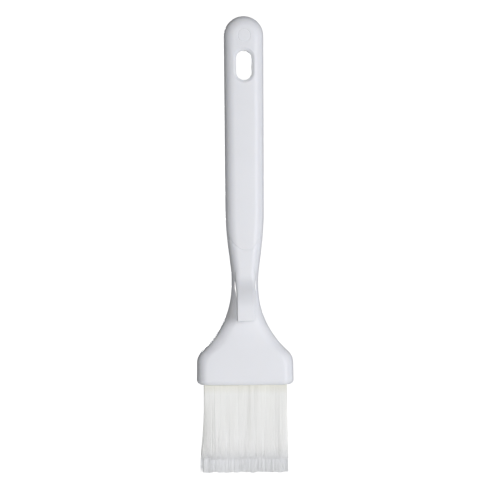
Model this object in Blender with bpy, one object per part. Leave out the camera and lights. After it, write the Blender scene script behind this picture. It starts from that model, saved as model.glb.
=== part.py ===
"""Flat pastry brush with a one-piece moulded handle and a pan hook.

Metres, +Z up, bristles down, hook towards -Y. The origin is the highest point inside the
hanging slot, where a peg carries the brush. Heights named here are measured up from the
bristle tips, and on_part() turns them into the part's own Z.
"""

import math

import bmesh
import bpy
from mathutils import Vector

MM = 0.001

# Whole brush
LENGTH = 280 * MM
GAP = 0.3 * MM  # left between pieces that touch

# Grip and neck
GRIP_HALF = 12.1 * MM  # half width at the top end
GRIP_THICK = 12.4 * MM
GRIP_EDGE = 6.5 * MM  # how far the rounding of a long edge reaches across the face
NECK_HALF = 8.17 * MM
TOP_CENTRE = LENGTH - GRIP_HALF  # centre of the round top end

# Hanging slot and the small round witness of the gate
SLOT_HALF = 4.7 * MM
SLOT_STRAIGHT = 8.4 * MM
SLOT_BEVEL = 1.75 * MM  # width of the sloping rim seen from the front
SLOT_BEVEL_DEPTH = 1.1 * MM
SLOT_MIDDLE = 249.8 * MM
SLOT_SEAT = SLOT_MIDDLE + SLOT_STRAIGHT / 2 + SLOT_HALF
DISC_RADIUS = 3.85 * MM
DISC_DEPTH = 0.25 * MM

# Head, which is set back behind the grip
MOUTH = 53.8 * MM
HEAD_HALF = 29.6 * MM
HEAD_DEPTH = 18 * MM
HEAD_SETBACK = 6 * MM

# Socket for the bristles
SOCKET_HALF = 25.85 * MM
SOCKET_DEPTH = 12 * MM
SOCKET_TOP = 72 * MM
SOCKET_CORNER = 1.2 * MM
LIP_RADIUS = 1.1 * MM
KEY_GROOVES = (64 * MM, 68 * MM)
KEY_DEPTH = 0.5 * MM
RESIN_FACE = MOUTH + 5.8 * MM

# Hook tongue and the window behind it
TONGUE_THICK = 3 * MM
TONGUE_STAND = 6.5 * MM  # how far its face stands in front of the grip's face
TONGUE_TIP = 92.9 * MM
TONGUE_DRAFT = 0.25 * MM  # how much narrower the tongue is at its face, each side
WINDOW_TOP = 119.8 * MM
WINDOW_FOOT = 93.4 * MM
WINDOW_HALF = 7.1 * MM
WINDOW_FOOT_HALF = 5.15 * MM  # hidden behind the tongue

# Bristles
BEND_RADIUS = 5.4 * MM  # also half the bundle's thickness where it leaves the head
BANK_GAP = 0.4 * MM
SPACER = Vector((44 * MM, 2.2 * MM, 8 * MM))

ARC_STEP = math.radians(7.5)


def on_part(x, y, height):
    return Vector((x, y, height - SLOT_SEAT))


def filleted(corners):
    """The path through (across, height, radius) corners, each corner turned into an arc."""
    points = [Vector(corners[0][:2])]
    for before, corner, after in zip(corners, corners[1:], corners[2:]):
        here = Vector(corner[:2])
        back = (Vector(before[:2]) - here).normalized()
        on = (Vector(after[:2]) - here).normalized()
        turn = math.pi - back.angle(on)
        reach = corner[2] * math.tan(turn / 2)
        centre = here + (back + on).normalized() * (corner[2] / math.cos(turn / 2))
        start = here + back * reach - centre
        side = 1 if start.cross(here + on * reach - centre) > 0 else -1
        steps = max(2, round(turn / ARC_STEP))
        for k in range(steps + 1):
            angle = side * turn * k / steps
            turned = Vector((
                start.x * math.cos(angle) - start.y * math.sin(angle),
                start.x * math.sin(angle) + start.y * math.cos(angle),
            ))
            points.append(centre + turned)
    points.append(Vector(corners[-1][:2]))
    return points


def across_at(path, height):
    """Where a path that runs steadily downwards is at one height."""
    for upper, lower in zip(path, path[1:]):
        if lower.y <= height <= upper.y:
            if upper.y == lower.y:
                return lower.x
            share = (upper.y - height) / (upper.y - lower.y)
            return upper.x + (lower.x - upper.x) * share
    return path[0].x if height > path[0].y else path[-1].x


def smoothstep(t):
    t = min(max(t, 0), 1)
    return t * t * (3 - 2 * t)


# The outline seen from the front: grip, taper, neck, flare, shoulder and straight side
HALF_WIDTH = filleted([
    (GRIP_HALF, TOP_CENTRE, 0),
    (11.7 * MM, 149.9 * MM, 193 * MM),
    (NECK_HALF, 122.3 * MM, 42 * MM),
    (NECK_HALF, 90.8 * MM, 54 * MM),
    (29.4 * MM, 72.1 * MM, 10 * MM),
    (HEAD_HALF, MOUTH, 0),
])
# The front and the back seen from the side, with the hook tongue left off
FRONT = filleted([
    (-GRIP_THICK / 2, TOP_CENTRE, 0),
    (-GRIP_THICK / 2, 124.5 * MM, 14 * MM),
    (-0.6 * MM, 104 * MM, 40 * MM),
    (HEAD_SETBACK - HEAD_DEPTH / 2, MOUTH, 0),
])
BACK = filleted([
    (GRIP_THICK / 2, TOP_CENTRE, 0),
    (GRIP_THICK / 2, 132 * MM, 60 * MM),
    (HEAD_SETBACK + HEAD_DEPTH / 2, 80 * MM, 60 * MM),
    (HEAD_SETBACK + HEAD_DEPTH / 2, MOUTH, 0),
])
# The tongue's face seen from the side: it swings forward below its root and then hangs straight
TONGUE_FACE = filleted([
    (-GRIP_THICK / 2, 130 * MM, 0),
    (-GRIP_THICK / 2, 117.1 * MM, 14.1 * MM),
    (-GRIP_THICK / 2 - TONGUE_STAND, 107.67 * MM, 22.7 * MM),
    (-GRIP_THICK / 2 - TONGUE_STAND, TONGUE_TIP, 0),
])
# How far the edge rounding reaches across the face: soft on the flare, tighter on the head
EDGE_REACH = filleted([
    (GRIP_EDGE, TOP_CENTRE, 0),
    (GRIP_EDGE, 150 * MM, 0),
    (5.2 * MM, 122 * MM, 0),
    (5.2 * MM, 112 * MM, 0),
    (12 * MM, 80 * MM, 0),
    (6.5 * MM, 66 * MM, 0),
    (6.5 * MM, MOUTH, 0),
])


def quarter(steps):
    """Cosine and sine pairs over a quarter turn."""
    for k in range(steps + 1):
        angle = math.pi / 2 * k / steps
        yield math.cos(angle), math.sin(angle)


def half_section(height, inset=(0, 0)):
    """The right half of the section at one height, from front centre to back centre."""
    half = across_at(HALF_WIDTH, height) - inset[0]
    front = across_at(FRONT, height) + inset[1]
    back = across_at(BACK, height) - inset[1]
    reach = min(across_at(EDGE_REACH, height) - inset[0] / 2, half - 2 * MM)
    land = 0.3 * MM  # the narrow flat along the parting line
    rise = min((back - front) / 2 - land, 6.2 * MM)
    points = [(0, front)]
    for c, s in quarter(6):
        points.append((half - reach + reach * s, front + rise - rise * c))
    for c, s in quarter(6):
        points.append((half - reach + reach * c, back - rise + rise * s))
    points.append((0, back))
    return points


def add_object(name, mesh, parent=None):
    thing = bpy.data.objects.new(name, mesh)
    bpy.context.collection.objects.link(thing)
    thing.parent = parent
    return thing


def finish_mesh(name, work, sharp_degrees=35):
    bmesh.ops.recalc_face_normals(work, faces=work.faces)
    mesh = bpy.data.meshes.new(name)
    work.to_mesh(mesh)
    work.free()
    mesh.shade_smooth()
    mesh.set_sharp_from_angle(angle=math.radians(sharp_degrees))
    return mesh


def lofted(name, rings, origin=Vector((0, 0, 0))):
    """A closed mesh through equal rings of points, flat at both ends."""
    work = bmesh.new()
    made = [[work.verts.new(point - origin) for point in ring] for ring in rings]
    for lower, upper in zip(made, made[1:]):
        for k in range(len(lower)):
            after = (k + 1) % len(lower)
            work.faces.new((lower[k], lower[after], upper[after], upper[k]))
    work.faces.new(made[0])
    work.faces.new(made[-1])
    return finish_mesh(name, work)


def cutter(name, mesh):
    tool = add_object(name, mesh)
    tool.hide_render = True
    tool.display_type = "WIRE"
    return tool


def combine(target, other, operation):
    step = target.modifiers.new(f"{operation.lower()} {other.name}", "BOOLEAN")
    step.operation = operation
    step.solver = "EXACT"
    step.object = other


def moulded(name, colour, roughness):
    material = bpy.data.materials.new(name)
    material.use_nodes = True
    shader = material.node_tree.nodes["Principled BSDF"]
    shader.inputs["Base Color"].default_value = (*colour, 1)
    shader.inputs["Roughness"].default_value = roughness
    shader.inputs["Metallic"].default_value = 0
    return material


def body_heights():
    """The heights at which the handle's shape needs a section, from the mouth upwards."""
    kept = {TOP_CENTRE, MOUTH + 3 * MM}
    for path in (HALF_WIDTH, FRONT, BACK, EDGE_REACH):
        kept.update(p.y for p in path if MOUTH + 3.5 * MM < p.y < TOP_CENTRE - 3 * MM)
    heights = []
    for height in sorted(kept):
        if not heights or height - heights[-1] > 0.9 * MM:
            heights.append(height)
    return heights


def handle_shell():
    """The solid outside of the handle: sections from the mouth up, and a spun round top."""
    work = bmesh.new()
    rows = []
    corner = Vector((4 * MM, 1.7 * MM))
    for c, s in quarter(4):
        inset = ((1 - s) * corner.x, (1 - s) * corner.y)
        rows.append((MOUTH + 3 * MM * (1 - c), inset))
    rows += [(height, (0, 0)) for height in body_heights()[1:]]
    rings = []
    for height, inset in rows:
        right = half_section(height, inset)
        left = [(-x, y) for x, y in reversed(right[1:-1])]
        rings.append([work.verts.new(on_part(x, y, height)) for x, y in right + left])
    for lower, upper in zip(rings, rings[1:]):
        for k in range(len(lower)):
            after = (k + 1) % len(lower)
            work.faces.new((lower[k], lower[after], upper[after], upper[k]))
    work.faces.new(rings[0])
    profile = half_section(TOP_CENTRE)
    count = len(profile)
    top = rings[-1]
    poles = (top[0], top[count - 1])
    columns = [top[1 : count - 1]]
    spins = 20
    for k in range(1, spins):
        angle = math.pi * k / spins
        columns.append([
            work.verts.new(on_part(x * math.cos(angle), y, TOP_CENTRE + x * math.sin(angle)))
            for x, y in profile[1:-1]
        ])
    columns.append(list(reversed(top[count:])))
    for near, far in zip(columns, columns[1:]):
        work.faces.new((poles[0], near[0], far[0]))
        work.faces.new((poles[1], far[-1], near[-1]))
        for k in range(len(near) - 1):
            work.faces.new((near[k], near[k + 1], far[k + 1], far[k]))
    return finish_mesh("handle_body", work)


def slot_tool():
    """The hanging slot with a sloping rim at both faces, cut along Y."""
    face = -GRIP_THICK / 2
    rims = [
        (face - SLOT_BEVEL_DEPTH, SLOT_HALF + 2 * SLOT_BEVEL),
        (face + SLOT_BEVEL_DEPTH, SLOT_HALF),
    ]
    rims += [(-y, radius) for y, radius in reversed(rims)]
    rings = []
    for y, radius in rims:
        ring = []
        for end in (1, -1):
            for k in range(13):
                angle = math.pi * k / 12
                across = end * radius * math.cos(angle)
                height = SLOT_MIDDLE + end * (SLOT_STRAIGHT / 2 + radius * math.sin(angle))
                ring.append(on_part(across, y, height))
        rings.append(ring)
    return cutter("slot_tool", lofted("slot_tool", rings))


def disc_tool():
    ring = []
    for k in range(24):
        angle = 2 * math.pi * k / 24
        ring.append((DISC_RADIUS * math.cos(angle), DISC_RADIUS * math.sin(angle)))
    front = -GRIP_THICK / 2
    rings = [
        [on_part(x, y, TOP_CENTRE + z) for x, z in ring]
        for y in (front - 1 * MM, front + DISC_DEPTH)
    ]
    return cutter("disc_tool", lofted("disc_tool", rings))


def socket_ring(height, grow):
    """A rounded rectangle of the socket's size, grown or shrunk all round."""
    radius = max(SOCKET_CORNER + grow, 0.5 * MM)
    half = Vector((SOCKET_HALF + grow - radius, SOCKET_DEPTH / 2 + grow - radius))
    ring = []
    for turn, (sx, sy) in enumerate(((1, 1), (-1, 1), (-1, -1), (1, -1))):
        for k in range(5):
            angle = math.pi / 2 * (turn + k / 4)
            ring.append(on_part(
                sx * half.x + radius * math.cos(angle),
                HEAD_SETBACK + sy * half.y + radius * math.sin(angle),
                height,
            ))
    return ring


def key_rings(from_height, shrink):
    """Rings up the socket wall, stepping out at each key groove."""
    rings = [socket_ring(from_height, -shrink)]
    for groove in KEY_GROOVES:
        rings.append(socket_ring(groove - 1.3 * MM + shrink, -shrink))
        rings.append(socket_ring(groove - 0.8 * MM + shrink, KEY_DEPTH - shrink))
        rings.append(socket_ring(groove + 0.8 * MM - shrink, KEY_DEPTH - shrink))
        rings.append(socket_ring(groove + 1.3 * MM - shrink, -shrink))
    rings.append(socket_ring(SOCKET_TOP - shrink, -shrink))
    return rings


def socket_tool():
    """The socket, with a rounded lip at the mouth."""
    rings = [socket_ring(MOUTH - 2 * MM, LIP_RADIUS)]
    for c, s in quarter(3):
        rings.append(socket_ring(MOUTH + LIP_RADIUS * (1 - c), LIP_RADIUS * (1 - s)))
    return cutter("socket_tool", lofted("socket_tool", rings + key_rings(RESIN_FACE, 0)))


def window_tool():
    """The opening through the neck and head that frees the back of the tongue."""
    right = filleted([
        (0, WINDOW_TOP, 0),
        (WINDOW_HALF, WINDOW_TOP, 2.6 * MM),
        (WINDOW_HALF, 113.5 * MM, 8 * MM),
        (WINDOW_FOOT_HALF, 107.3 * MM, 8 * MM),
        (WINDOW_FOOT_HALF, WINDOW_FOOT, 1.5 * MM),
        (0, WINDOW_FOOT, 0),
    ])
    outline = right[1:] + [Vector((-p.x, p.y)) for p in reversed(right[1:-1])]
    rings = [[on_part(p.x, y, p.y) for p in outline] for y in (-20 * MM, 30 * MM)]
    return cutter("window_tool", lofted("window_tool", rings))


def tongue_half(height):
    """Half the tongue's width at its back: it narrows below the neck and then runs straight."""
    return (5.45 + 0.95 * smoothstep((height - 108 * MM) / (14 * MM))) * MM


def hook_tongue():
    """The tongue as rings from its tip up to where it is buried in the neck."""
    rings = []
    heights = [TONGUE_TIP, TONGUE_TIP + 0.7 * MM] + [97 * MM + 2 * MM * k for k in range(13)]
    for height in heights + [123 * MM, 125.5 * MM, 128 * MM]:
        short = 0.7 * MM if height == TONGUE_TIP else 0
        buried = 0.05 * MM if height > 122 * MM else 0
        soft = smoothstep((height - 104 * MM) / (19 * MM))  # round like the neck at the root
        reach = (0.8 + 2.6 * soft) * MM
        rise = (0.8 + 1.0 * soft) * MM
        half = tongue_half(height) - short - buried
        narrow = half - TONGUE_DRAFT
        face = across_at(TONGUE_FACE, height)
        root = 2.6 * MM * max(0, (height - 111.5 * MM) / (8 * MM)) ** 2
        inner = min(face + TONGUE_THICK + root, 0) - short / 2
        face += short + buried
        side = [(half, inner)]
        side += [(narrow - reach * (1 - c), face + rise * (1 - s)) for c, s in quarter(3)]
        side += [(-x, y) for x, y in reversed(side)]
        rings.append([on_part(x, y, height) for x, y in side])
    tongue = add_object("tongue_piece", lofted("tongue_piece", rings))
    tongue.hide_render = True
    tongue.display_type = "WIRE"
    return tongue


def make_handle():
    handle = add_object("handle_body", handle_shell())
    handle.data.materials.append(moulded("white polypropylene", (0.80, 0.81, 0.83), 0.38))
    combine(handle, window_tool(), "DIFFERENCE")
    combine(handle, hook_tongue(), "UNION")
    combine(handle, slot_tool(), "DIFFERENCE")
    combine(handle, disc_tool(), "DIFFERENCE")
    combine(handle, socket_tool(), "DIFFERENCE")


def box_rings(low, high, y_low, y_high, half):
    return [
        [on_part(half, y_low, h), on_part(half, y_high, h),
         on_part(-half, y_high, h), on_part(-half, y_low, h)]
        for h in (low, high)
    ]


def make_resin():
    """Cured resin that fills the socket round the set root ends and the spacer."""
    resin = add_object("resin_block", lofted("resin_block", key_rings(RESIN_FACE, GAP)))
    resin.data.materials.append(moulded("cured epoxy resin", (0.72, 0.68, 0.55), 0.3))
    size = SPACER / 2 + Vector((GAP, GAP, 0))
    rings = box_rings(
        RESIN_FACE - 2 * MM, RESIN_FACE + SPACER.z + 2 * GAP,
        HEAD_SETBACK - size.y, HEAD_SETBACK + size.y, size.x,
    )
    combine(resin, cutter("spacer_tool", lofted("spacer_tool", rings)), "DIFFERENCE")


def make_spacer():
    """The strip that keeps the two banks of bristles apart inside the socket."""
    rings = box_rings(
        RESIN_FACE + GAP, RESIN_FACE + GAP + SPACER.z,
        HEAD_SETBACK - SPACER.y / 2, HEAD_SETBACK + SPACER.y / 2, SPACER.x / 2,
    )
    spacer = add_object("spacer_plug", lofted("spacer_plug", rings))
    spacer.data.materials.append(moulded("grey polypropylene strip", (0.55, 0.56, 0.58), 0.5))


def bank_depths():
    """(height, half width, depth from the middle) down one bank, tip step included."""
    rows = []
    for k in range(7):
        angle = math.radians(74 - 74 * k / 6)
        rows.append((MOUTH + BEND_RADIUS * math.sin(angle), 25.45 * MM,
                     BEND_RADIUS * math.cos(angle)))
    rows += [
        (38 * MM, 25.5 * MM, 5.5 * MM),
        (20 * MM, 25.8 * MM, 5.3 * MM),
        (9.6 * MM, 26 * MM, 4.9 * MM),
        (7.8 * MM, 26 * MM, 3.5 * MM),
        (2 * MM, 26.1 * MM, 3.1 * MM),
        (0, 26.1 * MM, 2.4 * MM),
    ]
    return rows


def make_bank(name, side, axis_empty, material):
    """One bank of free filaments; its round top turns about the bending axis."""
    inner = HEAD_SETBACK + side * BANK_GAP / 2
    rings = []
    for height, half, depth in bank_depths():
        outer = HEAD_SETBACK + side * depth
        rings.append([on_part(half, inner, height), on_part(half, outer, height),
                      on_part(-half, outer, height), on_part(-half, inner, height)])
    origin = axis_empty.location.copy()
    bank = add_object(name, lofted(name, rings, origin), parent=axis_empty)
    bank.data.materials.append(material)


def make_bristles():
    bend_axis = add_object("bristle_bend_axis", None)
    bend_axis.location = on_part(0, HEAD_SETBACK, MOUTH)
    nylon = moulded("white nylon filament", (0.80, 0.80, 0.77), 0.45)
    make_bank("bristle_bank_front", -1, bend_axis, nylon)
    make_bank("bristle_bank_back", 1, bend_axis, nylon)


for old in list(bpy.data.objects):
    bpy.data.objects.remove(old)
make_handle()
make_resin()
make_spacer()
make_bristles()
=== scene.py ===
"""A flat pastry brush: a one-piece moulded handle with a pan hook, and nylon filaments."""

import math
import random

import bmesh
import bpy
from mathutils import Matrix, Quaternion, Vector


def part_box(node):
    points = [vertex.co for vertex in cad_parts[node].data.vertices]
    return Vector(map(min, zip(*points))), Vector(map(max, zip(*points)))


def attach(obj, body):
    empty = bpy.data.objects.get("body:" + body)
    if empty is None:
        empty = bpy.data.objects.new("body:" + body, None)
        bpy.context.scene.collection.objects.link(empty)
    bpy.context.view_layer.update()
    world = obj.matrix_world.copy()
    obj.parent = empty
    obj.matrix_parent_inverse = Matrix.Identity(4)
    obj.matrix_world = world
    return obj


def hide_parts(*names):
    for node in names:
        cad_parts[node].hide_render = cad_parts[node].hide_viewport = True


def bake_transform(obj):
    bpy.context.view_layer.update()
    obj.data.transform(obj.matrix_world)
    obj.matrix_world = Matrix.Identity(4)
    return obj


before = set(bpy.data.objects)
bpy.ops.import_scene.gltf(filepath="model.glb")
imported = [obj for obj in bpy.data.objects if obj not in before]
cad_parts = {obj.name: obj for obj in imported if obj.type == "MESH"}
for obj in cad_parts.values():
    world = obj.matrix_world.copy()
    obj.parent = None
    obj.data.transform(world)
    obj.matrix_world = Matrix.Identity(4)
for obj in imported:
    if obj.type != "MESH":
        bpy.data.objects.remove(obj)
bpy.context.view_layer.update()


# The handle's outside. It is one injection moulding in white polypropylene: a flat-faced grip
# with soft edges and a round end, a thin neck, and a flared hollow head set back behind the grip.
# The sections are drawn up from the mouth, and the round end is the last one spun half a turn.

MM = 0.001
TIPS_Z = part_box("bristle_bank_front")[0].z
MOUTH_Z, CROWN_Z = (corner.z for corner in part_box("handle_body"))
FULL_LENGTH = CROWN_Z - TIPS_Z
MOUTH = MOUTH_Z - TIPS_Z + 0.4 * MM  # above the tips, as every height here is
SETBACK = (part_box("resin_block")[0].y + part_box("resin_block")[1].y) / 2
GRIP_HALF = 12.1 * MM
GRIP_FACE = -6.2 * MM
HEAD_HALF_DEPTH = 9 * MM
TOP_CENTRE = FULL_LENGTH - GRIP_HALF
NECK_HALF = 8.17 * MM
GRIP_REACH = 6.5 * MM  # how far the rounding of an edge reaches across the face
GRIP_ROUNDING = 6.2 * MM  # how deep it goes
LEAST_FLAT = 2 * MM
PARTING_LAND = 0.3 * MM
LIP_OUT = 1.7 * MM
LIP_IN = 4 * MM
LIP_RISE = 3 * MM
NECK_ROWS = 1.1 * MM
GRIP_ROWS = 3.2 * MM
GRIP_FOOT = 162 * MM
SMOOTH_STEP = math.radians(1.5)
EDGE_STEPS = 12


def above_tips(x, y, height):
    return Vector((x, y, TIPS_Z + height))


def filleted(corners):
    """The path through (across, height, radius) corners, each corner turned into an arc."""
    points = [Vector(corners[0][:2])]
    for before, corner, after in zip(corners, corners[1:], corners[2:]):
        here = Vector(corner[:2])
        back = (Vector(before[:2]) - here).normalized()
        on = (Vector(after[:2]) - here).normalized()
        turn = math.pi - back.angle(on)
        centre = here + (back + on).normalized() * (corner[2] / math.cos(turn / 2))
        start = here + back * corner[2] * math.tan(turn / 2) - centre
        end = here + on * corner[2] * math.tan(turn / 2) - centre
        side = 1 if start.cross(end) > 0 else -1
        steps = max(2, round(turn / SMOOTH_STEP))
        for k in range(steps + 1):
            c, s = math.cos(side * turn * k / steps), math.sin(side * turn * k / steps)
            points.append(centre + Vector((start.x * c - start.y * s, start.x * s + start.y * c)))
    points.append(Vector(corners[-1][:2]))
    return points


def across_at(path, height):
    """Where a path that runs steadily downwards is at one height."""
    if height >= path[0].y:
        return path[0].x
    for upper, lower in zip(path, path[1:]):
        if lower.y <= height < upper.y:
            return upper.x + (lower.x - upper.x) * (upper.y - height) / (upper.y - lower.y)
    return path[-1].x


def smoothstep(t):
    t = min(max(t, 0), 1)
    return t * t * (3 - 2 * t)


def quarter(steps):
    """Cosine and sine pairs over a quarter turn."""
    return [(math.cos(math.pi / 2 * k / steps), math.sin(math.pi / 2 * k / steps))
            for k in range(steps + 1)]


outline = filleted([
    (GRIP_HALF, TOP_CENTRE, 0),
    (11.7 * MM, 149.9 * MM, 193 * MM),
    (NECK_HALF, 122.3 * MM, 42 * MM),
    (NECK_HALF, 90.8 * MM, 54 * MM),
    (29.4 * MM, 72.1 * MM, 10 * MM),
    (29.6 * MM, MOUTH, 0),
])
front_line = filleted([
    (GRIP_FACE, TOP_CENTRE, 0),
    (GRIP_FACE, 124.5 * MM, 14 * MM),
    (-0.6 * MM, 104 * MM, 40 * MM),
    (SETBACK - HEAD_HALF_DEPTH, MOUTH, 0),
])
back_line = filleted([
    (-GRIP_FACE, TOP_CENTRE, 0),
    (-GRIP_FACE, 132 * MM, 60 * MM),
    (SETBACK + HEAD_HALF_DEPTH, 80 * MM, 60 * MM),
    (SETBACK + HEAD_HALF_DEPTH, MOUTH, 0),
])
edge_line = filleted([
    (GRIP_REACH, TOP_CENTRE, 0),
    (GRIP_REACH, 150 * MM, 60 * MM),
    (5.2 * MM, 122 * MM, 60 * MM),
    (5.2 * MM, 112 * MM, 60 * MM),
    (10.5 * MM, 80 * MM, 12 * MM),
    (GRIP_REACH, 66 * MM, 8 * MM),
    (GRIP_REACH, MOUTH, 0),
])
edge_depth = filleted([
    (GRIP_ROUNDING, TOP_CENTRE, 0),
    (GRIP_ROUNDING, 98 * MM, 20 * MM),
    (4.4 * MM, 82 * MM, 12 * MM),
    (GRIP_ROUNDING, 68 * MM, 8 * MM),
    (GRIP_ROUNDING, MOUTH, 0),
])


def handle_section(height, side_inset=0, face_inset=0):
    """One level section, from the middle of the front round the right side to the left."""
    half = across_at(outline, height) - side_inset
    front = across_at(front_line, height) + face_inset
    back = across_at(back_line, height) - face_inset
    reach = min(across_at(edge_line, height) - side_inset / 2, half - LEAST_FLAT)
    rise = min((back - front) / 2 - PARTING_LAND, across_at(edge_depth, height))
    right = [(0, front), ((half - reach) / 2, front)]
    right += [(half - reach + reach * s, front + rise - rise * c) for c, s in quarter(EDGE_STEPS)]
    right += [(half - reach + reach * c, back - rise + rise * s) for c, s in quarter(EDGE_STEPS)]
    right += [((half - reach) / 2, back), (0, back)]
    left = [(-x, y) for x, y in reversed(right[1:-1])]
    return [above_tips(x, y, height) for x, y in right + left]


def draw_up(name, rings):
    """A shell drawn through rings of points: a circle, extruded from ring to ring."""
    bpy.ops.object.select_all(action="DESELECT")
    bpy.ops.mesh.primitive_circle_add(vertices=len(rings[0]), radius=MM, location=(0, 0, 0))
    piece = bpy.context.object
    piece.name = name
    bpy.ops.object.mode_set(mode="EDIT")
    work = bmesh.from_edit_mesh(piece.data)
    place = work.verts.layers.int.new("place")
    for k, vertex in enumerate(work.verts):
        vertex[place] = k
    for number, ring in enumerate(rings):
        if number:
            bpy.ops.mesh.extrude_region_move()
        work = bmesh.from_edit_mesh(piece.data)
        place = work.verts.layers.int["place"]
        for vertex in work.verts:
            if vertex.select:
                vertex.co = ring[vertex[place]]
        bmesh.update_edit_mesh(piece.data)
    return piece


def close_ends(piece):
    """Fills each open end of a shell in edit mode, turns its faces outwards and leaves it."""
    bpy.ops.mesh.select_all(action="DESELECT")
    bpy.ops.mesh.select_non_manifold()
    bpy.ops.mesh.edge_face_add()
    bpy.ops.mesh.select_all(action="SELECT")
    bpy.ops.mesh.normals_make_consistent(inside=False)
    bpy.ops.object.mode_set(mode="OBJECT")


def solid_through(name, rings):
    """A closed solid drawn through rings of points."""
    piece = draw_up(name, rings)
    bpy.ops.mesh.edge_face_add()
    close_ends(piece)
    return piece


def pick_only(piece):
    """Makes a piece the one that the next operator works on."""
    bpy.ops.object.select_all(action="DESELECT")
    piece.select_set(True)
    bpy.context.view_layer.objects.active = piece


def join_shape(piece, tool, operation):
    """Cuts a tool out of a piece, or adds it, and removes the tool."""
    pick_only(piece)
    bpy.ops.object.modifier_add(type="BOOLEAN")
    step = piece.modifiers[-1]
    step.operation = operation
    step.solver = "MANIFOLD"
    step.object = tool
    bpy.ops.object.modifier_apply(modifier=step.name)
    bpy.data.objects.remove(tool)


rows = [(MOUTH + LIP_RISE * (1 - c), LIP_IN * (1 - s), LIP_OUT * (1 - s)) for c, s in quarter(8)]
height = MOUTH + LIP_RISE + MM
while height < TOP_CENTRE - MM:
    rows.append((height, 0, 0))
    height += NECK_ROWS if height < GRIP_FOOT else GRIP_ROWS
rows.append((TOP_CENTRE, 0, 0))
rings = [handle_section(*row) for row in rows]
handle = draw_up("handle_moulding", rings)

# The right half of the last section, spun over the top to meet the left half
half_count = len(rings[0]) // 2
work = bmesh.from_edit_mesh(handle.data)
place = work.verts.layers.int["place"]
for vertex in work.verts:
    vertex.select = vertex.select and vertex[place] <= half_count
work.select_flush_mode()
bmesh.update_edit_mesh(handle.data)
bpy.ops.mesh.spin(steps=48, angle=math.pi, center=above_tips(0, 0, TOP_CENTRE), axis=(0, 1, 0))
bpy.ops.mesh.select_all(action="SELECT")
bpy.ops.mesh.remove_doubles(threshold=0.01 * MM)
close_ends(handle)


# The window behind the hook. A core of the mould passes right through the neck and head here,
# so the back of the tongue is free and daylight shows in a thin slit on either side of it. The
# core is drawn out backwards, and the window widens that way.

WINDOW_TOP = 119.8 * MM
WINDOW_FOOT = 93.9 * MM
WINDOW_HALF = 6.55 * MM
WINDOW_FOOT_HALF = 5.15 * MM
WINDOW_DRAFT = 0.008 / MM
window_side = filleted([
    (0, WINDOW_TOP, 0),
    (WINDOW_HALF, WINDOW_TOP, 2.6 * MM),
    (WINDOW_HALF, 113.5 * MM, 8 * MM),
    (WINDOW_FOOT_HALF, 107.3 * MM, 8 * MM),
    (WINDOW_FOOT_HALF, WINDOW_FOOT, 1.5 * MM),
    (0, WINDOW_FOOT, 0),
])
window_outline = window_side[1:] + [Vector((-p.x, p.y)) for p in reversed(window_side[1:-1])]
window_tool = solid_through("window_tool", [
    [above_tips(p.x * (1 + WINDOW_DRAFT * y), y, p.y) for p in window_outline]
    for y in (-20 * MM, 30 * MM)
])
join_shape(handle, window_tool, "DIFFERENCE")


# The hook tongue, moulded in one with the handle. It grows out of the front of the neck, swings
# forward, and hangs straight down, so that the brush can sit on the rim of a pan.

TONGUE_TIP = 93.4 * MM
TIP_ROUNDING = 0.6 * MM
TONGUE_STAND = 6.5 * MM
TONGUE_THICK = 3 * MM
TONGUE_HALF = 5.6 * MM
TONGUE_DRAFT = 0.15 * MM
BACK_CHAMFER = 0.3 * MM
tongue_line = filleted([
    (GRIP_FACE, 135 * MM, 0),
    (GRIP_FACE, 117.1 * MM, 14.1 * MM),
    (GRIP_FACE - TONGUE_STAND, 107.67 * MM, 22.7 * MM),
    (GRIP_FACE - TONGUE_STAND, TONGUE_TIP, 0),
])


def tongue_section(height, tip_inset=0):
    """One level section of the tongue: round like the neck at the root, flat-faced below."""
    soft = smoothstep((height - 104 * MM) / (19 * MM))
    reach = (0.7 + 2.7 * soft) * MM
    rise = (0.7 + 1.1 * soft) * MM
    buried = 0.05 * MM * smoothstep((height - 121 * MM) / (3 * MM))
    half = TONGUE_HALF + 0.8 * MM * smoothstep((height - 108 * MM) / (14 * MM)) - tip_inset - buried
    face = across_at(tongue_line, height)
    root = 2.6 * MM * max(0, (height - 111.5 * MM) / (8 * MM)) ** 2
    inner = min(face + TONGUE_THICK + root, 0) - tip_inset
    face += tip_inset + buried
    right = [(half - BACK_CHAMFER, inner), (half, inner - BACK_CHAMFER)]
    half -= TONGUE_DRAFT
    right += [(half - reach * (1 - c), face + rise * (1 - s)) for c, s in quarter(8)]
    return [above_tips(x, y, height) for x, y in right + [(-x, y) for x, y in reversed(right)]]


tongue_rings = [tongue_section(TONGUE_TIP + TIP_ROUNDING * (1 - c), TIP_ROUNDING * (1 - s))
                for c, s in quarter(8)]
tongue_rings += [tongue_section((94.6 + 0.7 * k) * MM) for k in range(48)]
join_shape(handle, solid_through("tongue_tool", tongue_rings), "UNION")


# The hanging slot near the top of the grip, with a broad sloping rim at both faces.

SLOT_HALF = 4.8 * MM
SLOT_STRAIGHT = 4.2 * MM
SLOT_MIDDLE = FULL_LENGTH - 30.2 * MM
RIM_WIDTH = 1.75 * MM
RIM_DEPTH = 0.85 * MM


def slot_ring(y, radius):
    ring = []
    for end in (1, -1):
        for k in range(33):
            angle = math.pi * k / 32
            rise = SLOT_STRAIGHT + radius * math.sin(angle)
            ring.append(above_tips(end * radius * math.cos(angle), y, SLOT_MIDDLE + end * rise))
    return ring


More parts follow.
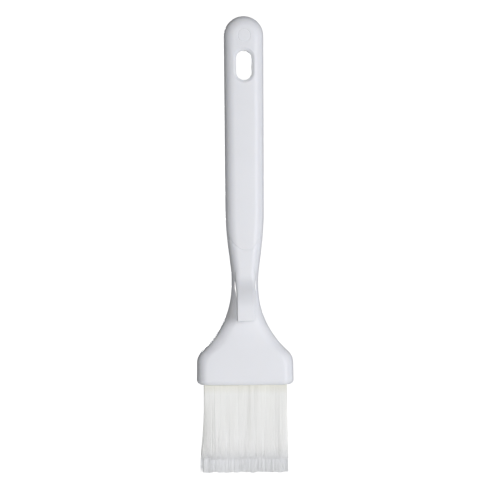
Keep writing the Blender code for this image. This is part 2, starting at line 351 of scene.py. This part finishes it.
slot_rims = [
    (GRIP_FACE - RIM_DEPTH, SLOT_HALF + 2 * RIM_WIDTH),
    (GRIP_FACE + 0.85 * RIM_DEPTH, SLOT_HALF + 0.15 * RIM_WIDTH),
    (GRIP_FACE + 1.1 * RIM_DEPTH, SLOT_HALF + 0.03 * RIM_WIDTH),
    (GRIP_FACE + 1.4 * RIM_DEPTH, SLOT_HALF),
]
slot_rims += [(-y, radius) for y, radius in reversed(slot_rims)]
slot_tool = solid_through("slot_tool", [slot_ring(y, radius) for y, radius in slot_rims])
join_shape(handle, slot_tool, "DIFFERENCE")


# Marks of the mould on the front face: the round hair-fine witness of an ejector near the top,
# and the U-shaped step, a fifth of a millimetre high, where an insert of the mould ends at the
# foot of the grip.

WITNESS_RADIUS = 3.85 * MM
WITNESS_GROOVE = 0.28 * MM
STEP_WIDTH = 0.25 * MM
STEP_FALL = 0.22 * MM
RUN_OUT = 1.3 * MM
STEP_HALF = 11 * MM
STEP_FOOT = 136.8 * MM
STEP_HEIGHT = 10.3 * MM
STEP_CURVE = 2.05
PROUD = 0.02 * MM  # how far a cutter's edge stands out of the face that it cuts

bpy.ops.mesh.primitive_torus_add(
    location=above_tips(0, GRIP_FACE + 0.03 * MM, TOP_CENTRE), rotation=(math.pi / 2, 0, 0),
    major_radius=WITNESS_RADIUS, minor_radius=WITNESS_GROOVE, major_segments=96, minor_segments=8)
join_shape(handle, bpy.context.object, "DIFFERENCE")


def face_depth(x, height):
    """How far back the front face is at one point of the grip."""
    half = across_at(outline, height)
    reach = across_at(edge_line, height)
    over = min(max((abs(x) - half + reach) / reach, 0), 0.999)
    rise = -GRIP_FACE - PARTING_LAND
    return across_at(front_line, height) + rise * (1 - math.sqrt(1 - over * over))


step_profile = [
    (3 * STEP_WIDTH, -MM),
    (STEP_WIDTH, -PROUD),
    (0, STEP_FALL),
    (-RUN_OUT, -PROUD),
    (-RUN_OUT - 2 * STEP_WIDTH, -MM),
]
step_rings = []
for k in range(97):
    across = -1 + 2 * k / 96
    x = STEP_HALF * across
    height = STEP_FOOT + STEP_HEIGHT * abs(across) ** STEP_CURVE
    slope = STEP_CURVE * STEP_HEIGHT / STEP_HALF * abs(across) ** (STEP_CURVE - 1)
    slope = math.copysign(slope, across)
    inward = Vector((-slope, 1)).normalized()
    ring = []
    for offset, depth in step_profile:
        at = Vector((x, height)) + inward * offset
        ring.append(above_tips(at.x, face_depth(at.x, at.y) + depth, at.y))
    step_rings.append(ring)
join_shape(handle, solid_through("step_tool", step_rings), "DIFFERENCE")


# The socket in the head, open at the mouth, where the filaments are set. Two shallow grooves
# round its wall key the resin, and the lip is rounded so that it doesn't cut the filaments.

SOCKET_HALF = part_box("resin_block")[1].x - 0.2 * MM
SOCKET_HALF_DEPTH = 6 * MM
SOCKET_CORNER = 1.2 * MM
GROOVE_DEPTH = 0.5 * MM
SOCKET_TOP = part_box("resin_block")[1].z - TIPS_Z + 0.3 * MM
RESIN_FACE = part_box("resin_block")[0].z - TIPS_Z
LIP = 1.1 * MM
SHARP_ANGLE = math.radians(20)


def socket_ring(height, grow):
    """A rounded rectangle of the socket's size, grown all round."""
    radius = SOCKET_CORNER + grow
    half_x = SOCKET_HALF + grow - radius
    half_y = SOCKET_HALF_DEPTH + grow - radius
    ring = []
    for turn, (sx, sy) in enumerate(((1, 1), (-1, 1), (-1, -1), (1, -1))):
        for c, s in quarter(8):
            x, y = [(c, s), (-s, c), (-c, -s), (s, -c)][turn]
            ring.append(above_tips(sx * half_x + radius * x, SETBACK + sy * half_y + radius * y,
                                   height))
    return ring


socket_rings = [socket_ring(MOUTH - 2 * MM, LIP)]
socket_rings += [socket_ring(MOUTH + LIP * (1 - c), LIP * (1 - s)) for c, s in quarter(8)]
socket_rings.append(socket_ring(RESIN_FACE, 0))
for groove in (64 * MM, 68 * MM):
    for off, depth in ((-1.3, 0), (-0.8, GROOVE_DEPTH), (0.8, GROOVE_DEPTH), (1.3, 0)):
        socket_rings.append(socket_ring(groove + off * MM, depth))
socket_rings.append(socket_ring(SOCKET_TOP, 0))
join_shape(handle, solid_through("socket_tool", socket_rings), "DIFFERENCE")

pick_only(handle)
bpy.ops.object.shade_smooth_by_angle(angle=SHARP_ANGLE)


# Polypropylene as it leaves a polished mould: cold white, waxy, slightly see-through at thin
# edges, with a low sheen that long use and the mould's flow leave a little uneven.


def linear(colour):
    """The linear colour of an sRGB hex value such as "F4F4F6"."""
    parts = [int(colour[k : k + 2], 16) / 255 for k in (0, 2, 4)]
    return [p / 12.92 if p <= 0.04045 else ((p + 0.055) / 1.055) ** 2.4 for p in parts] + [1]


def add_node(material, kind, links=None, **settings):
    """Adds a node, sets its inputs by name or its own properties, and links its inputs."""
    node = material.node_tree.nodes.new(kind)
    for name, value in settings.items():
        socket = node.inputs.get(name.replace("_", " "))
        if hasattr(node, name):
            setattr(node, name, value)
        elif socket is not None:
            socket.default_value = value
        else:
            raise KeyError(f"{kind} has nothing called {name}")
    for name, source in (links or {}).items():
        material.node_tree.links.new(source, node.inputs[name])
    return node


def new_material(name):
    material = bpy.data.materials.new(name)
    material.use_nodes = True
    material.node_tree.nodes.remove(material.node_tree.nodes["Principled BSDF"])
    shader = add_node(material, "ShaderNodeBsdfPrincipled")
    output = material.node_tree.nodes["Material Output"]
    material.node_tree.links.new(shader.outputs["BSDF"], output.inputs["Surface"])
    return material, shader


def two_tones(material, share, dark, light):
    """A colour between two sRGB hex values, by the share that a node gives."""
    tint = add_node(material, "ShaderNodeMix", {"Factor": share}, data_type="RGBA")
    tint.inputs[6].default_value = linear(dark)
    tint.inputs[7].default_value = linear(light)
    return tint.outputs[2]


def moulded_polypropylene():
    material, shader = new_material("moulded_white_polypropylene")
    links = material.node_tree.links
    shader.inputs["IOR"].default_value = 1.49
    shader.inputs["Specular IOR Level"].default_value = 0.5
    shader.inputs["Subsurface Weight"].default_value = 0.6
    shader.inputs["Subsurface Radius"].default_value = (1.0, 0.97, 0.92)
    shader.inputs["Subsurface Scale"].default_value = 0.6 * MM
    where = add_node(material, "ShaderNodeTexCoord").outputs["Object"]
    # Flow of the melt: broad faint clouds about 25 mm across
    flow = add_node(material, "ShaderNodeTexNoise", {"Vector": where}, Scale=1 / (25 * MM),
                    Detail=3.0, Roughness=0.5)
    # The spark-eroded steel's print: a fine soft mottle about 0.8 mm across
    mottle = add_node(material, "ShaderNodeTexNoise", {"Vector": where}, Scale=1 / (0.8 * MM),
                      Detail=2.0, Roughness=0.6)
    tint = two_tones(material, flow.outputs["Fac"], "EDEEF1", "F2F3F6")
    links.new(tint, shader.inputs["Base Color"])
    sheen = add_node(material, "ShaderNodeMapRange", {"Value": flow.outputs["Fac"]},
                     To_Min=0.34, To_Max=0.46)
    links.new(sheen.outputs["Result"], shader.inputs["Roughness"])
    bump = add_node(material, "ShaderNodeBump", {"Height": mottle.outputs["Fac"]},
                    Strength=0.25, Distance=0.02 * MM)
    links.new(bump.outputs["Normal"], shader.inputs["Normal"])
    return material


def dress(piece, material):
    """Gives a whole piece one material."""
    piece.data.materials.clear()
    piece.data.materials.append(material)


dress(handle, moulded_polypropylene())
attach(handle, "handle")
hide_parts("handle_body")


# The resin that fills the socket round the filaments' roots, cast in place and cured: a clear
# amber epoxy with the pale roots showing through it as fine upright streaks.


def cured_resin():
    material, shader = new_material("cured_clear_epoxy")
    links = material.node_tree.links
    shader.inputs["IOR"].default_value = 1.55
    shader.inputs["Roughness"].default_value = 0.22
    shader.inputs["Subsurface Weight"].default_value = 0.3
    shader.inputs["Subsurface Scale"].default_value = 2 * MM
    where = add_node(material, "ShaderNodeTexCoord").outputs["Object"]
    upright = add_node(material, "ShaderNodeMapping", {"Vector": where}, Scale=(1, 1, 0.05))
    # Roots about 0.4 mm apart, drawn out along the filaments
    roots = add_node(material, "ShaderNodeTexNoise", {"Vector": upright.outputs["Vector"]},
                     Scale=1 / (0.4 * MM), Detail=1.0)
    tint = two_tones(material, roots.outputs["Fac"], "C9BE9C", "E4DFCD")
    links.new(tint, shader.inputs["Base Color"])
    return material


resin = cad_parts["resin_block"]
dress(resin, cured_resin())


# The spacer, a plain extruded plastic strip that keeps the two banks apart inside the resin.


def extruded_strip():
    material, shader = new_material("extruded_grey_polypropylene")
    links = material.node_tree.links
    shader.inputs["IOR"].default_value = 1.49
    where = add_node(material, "ShaderNodeTexCoord").outputs["Object"]
    along = add_node(material, "ShaderNodeMapping", {"Vector": where}, Scale=(0.04, 1, 1))
    # Die lines of the extrusion, about 0.5 mm apart along the strip
    lines = add_node(material, "ShaderNodeTexNoise", {"Vector": along.outputs["Vector"]},
                     Scale=1 / (0.5 * MM), Detail=2.0)
    tint = two_tones(material, lines.outputs["Fac"], "B9BBBD", "CACBCD")
    links.new(tint, shader.inputs["Base Color"])
    sheen = add_node(material, "ShaderNodeMapRange", {"Value": lines.outputs["Fac"]},
                     To_Min=0.4, To_Max=0.6)
    links.new(sheen.outputs["Result"], shader.inputs["Roughness"])
    return material


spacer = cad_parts["spacer_plug"]
dress(spacer, extruded_strip())


# The bristles: straight nylon filaments 0.2 mm thick, set in resin as two banks. They are
# modelled one by one, in rows. The outer layers are trimmed shorter than the inner ones, which
# leaves a step across the brush near the tips. A few filaments at the left edge stand away.

FILAMENT_RADIUS = 0.145 * MM  # to the corners of a square section, 0.2 mm across the flats
BUNDLE_HALF = 25.3 * MM
BUNDLE_DEPTH = 5.45 * MM
STEP_DEPTH = 3.2 * MM
FILAMENT_POINTS = 7
PER_ROW = 245
SQUARE_HALF = 18 * MM  # the part of the bundle's width that stays square
SPREAD = 0.75 * MM
LEFT_ROUNDING = 0.85
RIGHT_ROUNDING = 0.4


def wave(x, spacing, phase):
    """A smooth uneven ripple with about the given spacing, between -1 and 1."""
    t = x / spacing * 2 * math.pi
    return (math.sin(t + phase) + math.sin(1.73 * t + 2.1 * phase + 1)
            + math.sin(0.61 * t + 3.7 * phase + 2)) / 3


def filament_path(chance, x, depth, end_height, stray=0):
    """The points of one filament, from its root in the resin down to its tip."""
    drift = chance.gauss(0, 0.1) * MM
    drift_y = chance.gauss(0, 0.05) * MM
    kink = chance.gauss(0, 0.04) * MM
    start = RESIN_FACE + 1.5 * MM
    edge = max(0, (abs(x) - SQUARE_HALF) / (BUNDLE_HALF - SQUARE_HALF))
    points = []
    for k in range(FILAMENT_POINTS):
        height = start + (end_height - start) * k / (FILAMENT_POINTS - 1)
        free = min(max((MOUTH - height) / MOUTH, 0), 1)
        gather = 0.04 * MM * wave(x, 2.3 * MM, 1.0 + depth / MM * 0.35)
        gather += 0.05 * MM * wave(x, 5.1 * MM, 4.0 + depth / MM * 0.2)
        spread = SPREAD * (x / BUNDLE_HALF) ** 3 * free**1.5
        px = x + gather * free**1.3 + spread + drift * free**1.4
        px += kink * math.sin(math.pi * k / 2.2) * free
        px -= stray * smoothstep((40 * MM - height) / (38 * MM))
        # The bundle is square in the socket and rounds off at its sides as it leaves it
        roundness = LEFT_ROUNDING if x < 0 else RIGHT_ROUNDING
        rounding = math.sqrt(1 - roundness * min(edge, 1) ** 2 * smoothstep(free * 2.2))
        py = SETBACK + depth * rounding * (1 - 0.1 * free) + drift_y * free
        points.append(above_tips(px, py, height))
    return points


def bank_of_filaments(name, seed, rows, depths, tip_height, ragged, strays):
    """One layer of filaments as a single mesh of bevelled curves."""
    chance = random.Random(seed)
    curve = bpy.data.curves.new(name, "CURVE")
    curve.dimensions = "3D"
    curve.bevel_depth = FILAMENT_RADIUS
    curve.bevel_resolution = 0
    curve.use_fill_caps = True
    for number in range(rows * PER_ROW + strays):
        row, place = divmod(number, PER_ROW)
        share = (min(row, rows - 1) + 0.5 + chance.uniform(-0.15, 0.15)) / rows
        depth = depths[0] + (depths[1] - depths[0]) * share
        share = (place + 0.5 + chance.uniform(-0.2, 0.2)) / PER_ROW
        x = BUNDLE_HALF * (2 * share - 1)
        end = tip_height(x, depth) + abs(chance.gauss(0, ragged))
        stray = 0
        if row >= rows:
            x = -BUNDLE_HALF + chance.uniform(0, 1.2) * MM
            stray = chance.uniform(0.3, 2.2) * MM
            end += chance.uniform(0, 6) * MM
        path = filament_path(chance, x, depth, end, stray)
        tilt = math.pi / 4 + chance.gauss(0, 0.12)
        spline = curve.splines.new("POLY")
        spline.points.add(len(path) - 1)
        for k, point in enumerate(path):
            spline.points[k].co = (*point, 1)
            spline.points[k].tilt = tilt
            spline.points[k].radius = 0.7 if k == len(path) - 1 else 1
    bank = bpy.data.objects.new(name, curve)
    bpy.context.collection.objects.link(bank)
    pick_only(bank)
    bpy.ops.object.convert(target="MESH")
    bank = bpy.context.object
    bpy.ops.object.shade_flat()
    return bank


def inner_tips(x, depth):
    return (0.4 + 0.45 * wave(x, 9 * MM, 2.0)) * MM


def outer_tips(x, depth):
    """The outer layer is trimmed at a slope: the farther out a filament, the shorter it is."""
    out = (abs(depth) - STEP_DEPTH) / (BUNDLE_DEPTH - STEP_DEPTH)
    return (8.2 + 1.8 * out**1.5 + 0.3 * wave(x, 7 * MM, 5.0)) * MM


def nylon_filament():
    material, shader = new_material("white_nylon_filament")
    links = material.node_tree.links
    shader.inputs["IOR"].default_value = 1.53
    shader.inputs["Roughness"].default_value = 0.45
    where = add_node(material, "ShaderNodeTexCoord").outputs["Object"]
    upright = add_node(material, "ShaderNodeMapping", {"Vector": where}, Scale=(1, 1, 0.02))
    # Each filament's own tone: streaks 0.4 mm wide that run the whole length
    tone = add_node(material, "ShaderNodeTexNoise", {"Vector": upright.outputs["Vector"]},
                    Scale=1 / (0.4 * MM), Detail=2.0)
    tint = two_tones(material, tone.outputs["Fac"], "F8F8F5", "FFFFFD")
    # Down the length: warmer and a little darker at the resin, partly the resin's own tint and
    # partly painted shade under the mouth; clean white in the middle; a touch greyer and cooler
    # towards the tips
    place = add_node(material, "ShaderNodeSeparateXYZ", {"Vector": where})
    down = add_node(material, "ShaderNodeMapRange", {"Value": place.outputs["Z"]})
    down.inputs["From Min"].default_value = TIPS_Z
    down.inputs["From Max"].default_value = MOUTH_Z
    tint_and_shade_down = add_node(material, "ShaderNodeValToRGB", {"Fac": down.outputs["Result"]})
    # The stop at 1.0, at the mouth, is partly the resin's tint and partly painted shade
    stops = [(0.0, "FCFDFF"), (0.14, "FAFBFE"), (0.28, "FFFFFF"), (0.9, "FFFFFD"), (1.0, "F4F3EA")]
    for place_on, colour in stops[2:]:
        tint_and_shade_down.color_ramp.elements.new(place_on)
    for element, (place_on, colour) in zip(tint_and_shade_down.color_ramp.elements, stops):
        element.position = place_on
        element.color = linear(colour)
    tinted_and_shaded = add_node(material, "ShaderNodeMix", data_type="RGBA", blend_type="MULTIPLY")
    tinted_and_shaded.inputs[0].default_value = 1
    links.new(tint, tinted_and_shaded.inputs[6])
    links.new(tint_and_shade_down.outputs["Color"], tinted_and_shaded.inputs[7])
    links.new(tinted_and_shaded.outputs[2], shader.inputs["Base Color"])
    return material


nylon = nylon_filament()
layers = [
    ("bristles_front_outer", 11, 10, (-BUNDLE_DEPTH, -STEP_DEPTH), outer_tips, 0.6 * MM, 40),
    ("bristles_front_inner", 12, 11, (-STEP_DEPTH, -0.2 * MM), inner_tips, 0.5 * MM, 30),
    ("bristles_back_inner", 13, 11, (STEP_DEPTH, 0.2 * MM), inner_tips, 0.5 * MM, 30),
    ("bristles_back_outer", 14, 10, (BUNDLE_DEPTH, STEP_DEPTH), outer_tips, 0.6 * MM, 20),
]
for layer in layers:
    bank = bank_of_filaments(*layer)
    dress(bank, nylon)
    side = "front" if "front" in layer[0] else "back"
    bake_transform(bank)
    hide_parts(f"bristle_bank_{side}")


# The stage: a pale floor well below the hanging brush, soft light from the right, the front, the
# left, above and behind, and the camera level with the brush in front of it, a little to the left.

bpy.ops.object.select_all(action="DESELECT")
bpy.ops.mesh.primitive_circle_add(vertices=96, radius=0.8, fill_type="NGON",
                                  location=(0, 0, TIPS_Z - 0.3))
floor = bpy.context.object
floor.name = "floor"
floor_paint = bpy.data.materials.new("floor_paint")
floor_paint.use_nodes = True
floor_paint.node_tree.nodes["Principled BSDF"].inputs["Base Color"].default_value = linear("FAFAFA")
floor_paint.node_tree.nodes["Principled BSDF"].inputs["Roughness"].default_value = 0.9
dress(floor, floor_paint)

FIELD = 300 * MM  # width of the view at the brush
CAMERA_FAR = 2.0
SENSOR = 36
CAMERA_ROLL = math.radians(-0.36)
LIGHT_FAR = 1.5
LIGHT_SIZE = 0.6
middle = above_tips(0.1 * MM, 0, 139.9 * MM)


def around(azimuth, elevation, distance):
    a, e = math.radians(azimuth), math.radians(elevation)
    return Vector((math.sin(a) * math.cos(e), -math.cos(a) * math.cos(e), math.sin(e))) * distance


def soft_light(name, azimuth, elevation, power, colour):
    data = bpy.data.lights.new(name, "AREA")
    data.shape = "RECTANGLE"
    data.size = LIGHT_SIZE
    data.size_y = LIGHT_SIZE
    data.energy = power
    data.color = linear(colour)[:3]
    light = bpy.data.objects.new(name, data)
    bpy.context.collection.objects.link(light)
    light.location = middle + around(azimuth, elevation, LIGHT_FAR)
    light.rotation_mode = "QUATERNION"
    light.rotation_quaternion = (middle - light.location).to_track_quat("-Z", "Y")
    light.visible_camera = False


soft_light("key_right", 30, 2, 10.4, "F6F8FF")
soft_light("fill_front", 0, -3, 4.55, "FFFAF1")
soft_light("fill_left", -30, 0, 2.25, "E8F1FF")
soft_light("rim_right", 90, 0, 2.7, "EFF4FF")
soft_light("top", 20, 70, 1.5, "FFFFFF")
soft_light("behind", 178, 10, 9, "FFFFFF")

world = bpy.data.worlds.new("studio")
bpy.context.scene.world = world
world.use_nodes = True
background = world.node_tree.nodes["Background"]
background.inputs["Color"].default_value = (1, 1, 1, 1)
path = world.node_tree.nodes.new("ShaderNodeLightPath")
strength = world.node_tree.nodes.new("ShaderNodeMapRange")
strength.inputs["To Min"].default_value = 0.09
strength.inputs["To Max"].default_value = 1.1
world.node_tree.links.new(path.outputs["Is Camera Ray"], strength.inputs["Value"])
world.node_tree.links.new(strength.outputs["Result"], background.inputs["Strength"])
bpy.context.scene.view_settings.view_transform = "Standard"

camera_data = bpy.data.cameras.new("camera")
camera_data.sensor_width = SENSOR
camera_data.lens = SENSOR * CAMERA_FAR / FIELD
camera_data.clip_end = 20
camera = bpy.data.objects.new("camera", camera_data)
bpy.context.collection.objects.link(camera)
camera.location = middle + around(-2.7, 0, CAMERA_FAR)
camera.rotation_mode = "QUATERNION"
look = (middle - camera.location).to_track_quat("-Z", "Y")
camera.rotation_quaternion = look @ Quaternion((0, 0, 1), CAMERA_ROLL)
bpy.context.scene.camera = camera
